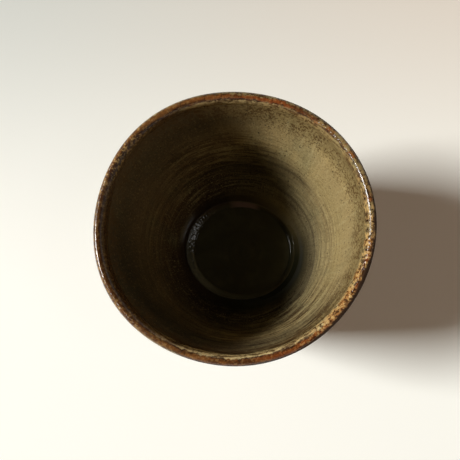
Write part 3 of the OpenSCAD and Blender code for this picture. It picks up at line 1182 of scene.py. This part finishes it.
@dataclass(frozen=True)
class IronGlaze:
    """The outside glaze: glossy brown-black, rust where it breaks over the throwing rings."""

    radius: float
    deep: str = "1d160d"
    warm: str = "2e2112"
    rust: str = "5a3419"
    olive: str = "4d4427"
    pale: str = "75683f"
    speck: str = "0d0804"
    gloss: float = 0.15
    veil_rough: float = 0.16
    edge_rough: float = 0.9
    relief: float = 0.1
    ior: float = 1.45

    def material(self, name: str) -> bpy.types.Material:
        """Make the glaze under the given name."""
        g = Graph(bpy.data.materials.new(name), self.radius)
        cloud = g.grain(15, (1, 0.55), detail=4.0)
        g.tint = g.blend(g.between(cloud, 0.38, 0.66), colour(self.deep), colour(self.warm))
        hair = g.grain(0.9, (1, 0.07))
        worn = g.grain(7, (0.35, 0.8), 0.4)
        ridge = g.times(g.between(g.furrow, 0.3, 0.0), g.between(worn, 0.47, 0.64))
        g.lay(self.rust, ridge, g.between(hair, 0.3, 0.6), 0.7)
        edge = g.centred(g.grain(1.6, (1, 0.3)))
        cover = g.between(g.total(g.mark("ash"), g.times(edge, 0.8)), 0.12, 0.95)
        g.lay(g.blend(g.between(hair, 0.36, 0.66), colour(self.olive), colour(self.pale)), cover, 0.85)
        g.lay(self.speck, g.above(g.grain(0.65, (1, 0.3), detail=2.0), 0.62, 14), 0.8)
        fine = g.grain(0.7)
        g.lay(self.deep, g.reach(g.run, -7, -3.4), g.between(fine, 0.36, 0.52))
        g.lay(self.rust, g.reach(g.run, -71.5, -74), g.between(fine, 0.3, 0.6), 0.5)
        rough = g.total(g.times(cover, self.veil_rough), self.gloss)
        rough = g.soften(rough, self.edge_rough, g.reach(g.run, -6, -3.6))
        return g.finish(rough, g.bump(g.grain(1.3, rough=0.55), self.relief), self.ior)


@dataclass(frozen=True)
class BareClay:
    """The unglazed foot: toasted brown stoneware with sand and iron grains and turning marks."""

    body: str = "6b4730"
    toasted: str = "4c2c1b"
    sand: str = "a68260"
    iron: str = "24150c"
    flash: str = "7e4724"
    rough: float = 0.82
    ior: float = 1.45

    def material(self, name: str) -> bpy.types.Material:
        """Make the clay and return it."""
        g = Graph(bpy.data.materials.new(name))
        point = g.object_point
        cloud = g.noise(point, 12, rough=0.55)
        g.tint = g.blend(g.between(cloud, 0.35, 0.68), colour(self.body), colour(self.toasted))
        # Darker in the turning grooves
        g.lay(self.toasted, g.furrow, 0.3)
        sandy = g.noise(point, 0.55, 2.0, 0.65)
        g.lay(self.sand, g.above(sandy, 0.64, 16), 0.7)
        g.lay(self.iron, g.above(g.noise(g.moved(point, 0.43), 0.75, 2.0), 0.66, 16), 0.85)
        g.lay(self.flash, g.reach(g.run, -80, -72), 0.5)
        coarse = g.bump(sandy, 0.1)
        fine = g.bump(g.noise(point, 0.35, rough=0.7), 0.12, Normal=coarse)
        return g.finish(self.rough, fine, self.ior)


@dataclass
class Cup:
    """The whole cup: five pieces cut from one thrown form."""

    form: ThrownForm

    def _coat(self, coat: Coat, first: int, last: int) -> bpy.types.Object:
        """Close a slice of the glaze with the clay behind it."""
        front = self.form.glaze.rows(slice(first, last + 1))
        back = self.form.clay.rows(self.form.back_rows(first, last))
        if coat is Coat.OUTER:
            front = front.rows(slice(1, None))
        if coat is not Coat.WELL:
            return lathe(coat.value, join(front, back.reversed()))
        s = self.form.sizes
        floor_top = s.well_z + s.pool_t * (1 + s.well_fill_share)
        return lathe(coat.value, join(back.reversed(), front), tips=(s.well_z, floor_top))

    def _clay_body(self) -> bpy.types.Object:
        """Make the clay: its bare outline, then its outline under the glaze to the floor's middle."""
        s = self.form.sizes
        hidden = self.form.clay.rows(self.form.back_rows(0, len(self.form.clay.point) - 1))
        return lathe(Coat.CLAY.value, join(self.form.bare, hidden), tips=(s.recess_depth, s.well_z))

    def build(self) -> None:
        """Make, dress and place every piece on the cup's one body."""
        f = self.form
        ash, iron = AshGlaze(f.sizes.mouth_r), IronGlaze(f.sizes.mouth_r)
        clay = self._clay_body()
        ends = (0, f.lip_place, f.band_place, f.pool_place, len(f.glaze.point) - 1)
        outer, rim, inner, well = (
            self._coat(coat, *between) for coat, between in zip(tuple(Coat)[1:], zip(ends, ends[1:]))
        )
        made = (
            (clay, Coat.CLAY, "stoneware_clay", BareClay().material("bare_clay")),
            (outer, Coat.OUTER, "dark_iron_glaze", iron.material("iron_glaze")),
            (rim, Coat.RIM, "rust_rim_glaze", ash.material("rim_ash_glaze")),
            (inner, Coat.INNER, "olive_ash_glaze", ash.material("wall_ash_glaze")),
            (well, Coat.WELL, "pooled_glaze", ash.material("pooled_ash_glaze")),
        )
        for piece, coat, slot, material in made:
            piece.name = coat.value + "_thrown"
            piece.data.materials.append(material)
            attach(piece, "root")
            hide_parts(coat.value)
            log.info("%s: %d faces, %s", piece.name, len(piece.data.polygons), material.name)


@dataclass(frozen=True)
class Lamp:
    """A rectangular lamp that faces the cup, hung at an azimuth and an elevation in degrees."""

    name: str
    azimuth: float
    elevation: float
    distance: float
    width: float
    height: float
    power: float
    tint: str
    aim_h: ClassVar[float] = 50.0 * MM

    def hang(self) -> None:
        """Make the lamp and point it at the cup."""
        data = bpy.data.lights.new(self.name, "AREA")
        data.shape = "RECTANGLE"
        data.size, data.size_y = self.width, self.height
        data.energy = self.power
        data.color = colour(self.tint)[:3]
        lamp = bpy.data.objects.new(self.name, data)
        a, e = math.radians(self.azimuth), math.radians(self.elevation)
        way = Vector((math.cos(a) * math.cos(e), math.sin(a) * math.cos(e), math.sin(e)))
        lamp.location = way * self.distance + Vector((0, 0, self.aim_h))
        lamp.rotation_euler = way.to_track_quat("Z", "Y").to_euler()
        lamp.visible_camera = False
        bpy.context.scene.collection.objects.link(lamp)


@dataclass(frozen=True)
class Studio:
    """The table, the window, the room's fill and the camera. Metres, degrees and watts."""

    table_side: float = 24.0
    # Near and far colours of the table: the far side darker, a painted fall-off of the window's light
    table_near: str = "f5f8f3"
    table_far: str = "c0c7c4"
    table_warm: str = "d3cbc0"
    table_fade_from: float = -25.0 * MM
    table_fade_to: float = 160.0 * MM
    table_rough: float = 0.8
    shadow_lift: str = "4c3b2c"
    lamps: tuple[Lamp, ...] = (
        Lamp("window", 177.8, 43.2, 6.0, 1.56, 1.75, 500.0, "fcfbf8"),
        Lamp("bounce", -12.0, 57.0, 1.2, 0.26, 0.26, 0.48, "f4f4f4"),
    )
    ceiling: str = "1c1916"
    ceiling_from: float = 8.0
    ceiling_to: float = 32.0
    horizon: str = "c8ae92"
    backdrop: str = "ece8df"
    eye: tuple[float, float, float] = (10.6 * MM, -29.5 * MM, 250.0 * MM)
    target: tuple[float, float, float] = (-0.55 * MM, -2.39 * MM, 84.0 * MM)
    lens: float = 43.3
    sensor_width: float = 36.0
    clip: Pair = (0.01, 50.0)

    def _table(self) -> None:
        """Lay the pale table that the cup stands on, darker and greyer towards the far side as a painted
        fall-off of the light.
        """
        half = self.table_side / 2
        corners = [(-half, -half, 0), (half, -half, 0), (half, half, 0), (-half, half, 0)]
        mesh = bpy.data.meshes.new("table")
        mesh.from_pydata(corners, [], [(0, 1, 2, 3)])
        table = bpy.data.objects.new("table", mesh)
        bpy.context.scene.collection.objects.link(table)
        g = Graph(bpy.data.materials.new("table_paint"))
        split = g.add("ShaderNodeSeparateXYZ", {0: g.object_point}).outputs
        fade = g.between(split["Y"], self.table_fade_from, self.table_fade_to)
        side = g.between(split["X"], -self.table_fade_to, self.table_fade_to)
        far = g.blend(side, colour(self.table_far), colour(self.table_warm))
        shader = g.add("ShaderNodeBsdfPrincipled", {
            "Base Color": g.blend(fade, colour(self.table_near), far),
            "Roughness": self.table_rough,
            "Emission Color": colour(self.shadow_lift),
            "Emission Strength": g.add("ShaderNodeLightPath").outputs["Is Camera Ray"],
        })
        g.add("ShaderNodeOutputMaterial", {"Surface": shader.outputs["BSDF"]})
        mesh.materials.append(g.owner)

    def _room(self) -> None:
        """Fill the room: pale walls low down that fade to a dim ceiling overhead."""
        g = Graph(bpy.data.worlds.new("room"))
        split = g.add("ShaderNodeSeparateXYZ", {0: g.coordinates["Generated"]}).outputs
        low, high = (math.sin(math.radians(angle)) for angle in (self.ceiling_from, self.ceiling_to))
        path = g.add("ShaderNodeLightPath").outputs
        seen = g.most(*(path[f"Is {kind} Ray"] for kind in ("Camera", "Glossy", "Transmission")))
        walls = g.blend(seen, colour(self.horizon), colour(self.backdrop))
        tint = g.blend(g.between(split["Z"], low, high), walls, colour(self.ceiling))
        light = g.add("ShaderNodeBackground", {"Color": tint})
        g.add("ShaderNodeOutputWorld", {"Surface": light.outputs[0]})
        bpy.context.scene.world = g.owner

    def _camera(self) -> None:
        """Hang the camera over the cup, with +Y at the top of the picture."""
        data = bpy.data.cameras.new("camera")
        data.sensor_width = self.sensor_width
        data.lens = self.lens
        data.clip_start, data.clip_end = self.clip
        camera = bpy.data.objects.new("camera", data)
        eye, target = Vector(self.eye), Vector(self.target)
        ahead = (target - eye).normalized()
        right = ahead.cross(Vector((0, 1, 0))).normalized()
        turn = Matrix((right, right.cross(ahead), -ahead)).transposed().to_4x4()
        camera.matrix_world = Matrix.Translation(eye) @ turn
        bpy.context.scene.collection.objects.link(camera)
        bpy.context.scene.camera = camera

    def build(self) -> None:
        """Set up the table, lamps, room, camera and plain colour rendering."""
        self._table()
        for lamp in self.lamps:
            lamp.hang()
        self._room()
        self._camera()
        bpy.context.scene.view_settings.view_transform = "Standard"


def main() -> None:
    """Build the cup and its studio and report each piece."""
    logging.basicConfig(level=logging.INFO, format="%(name)s: %(message)s")
    Studio().build()
    Cup(ThrownForm(CupSizes.from_frame())).build()
    bpy.context.view_layer.update()


if __name__ == "__main__":
    main()
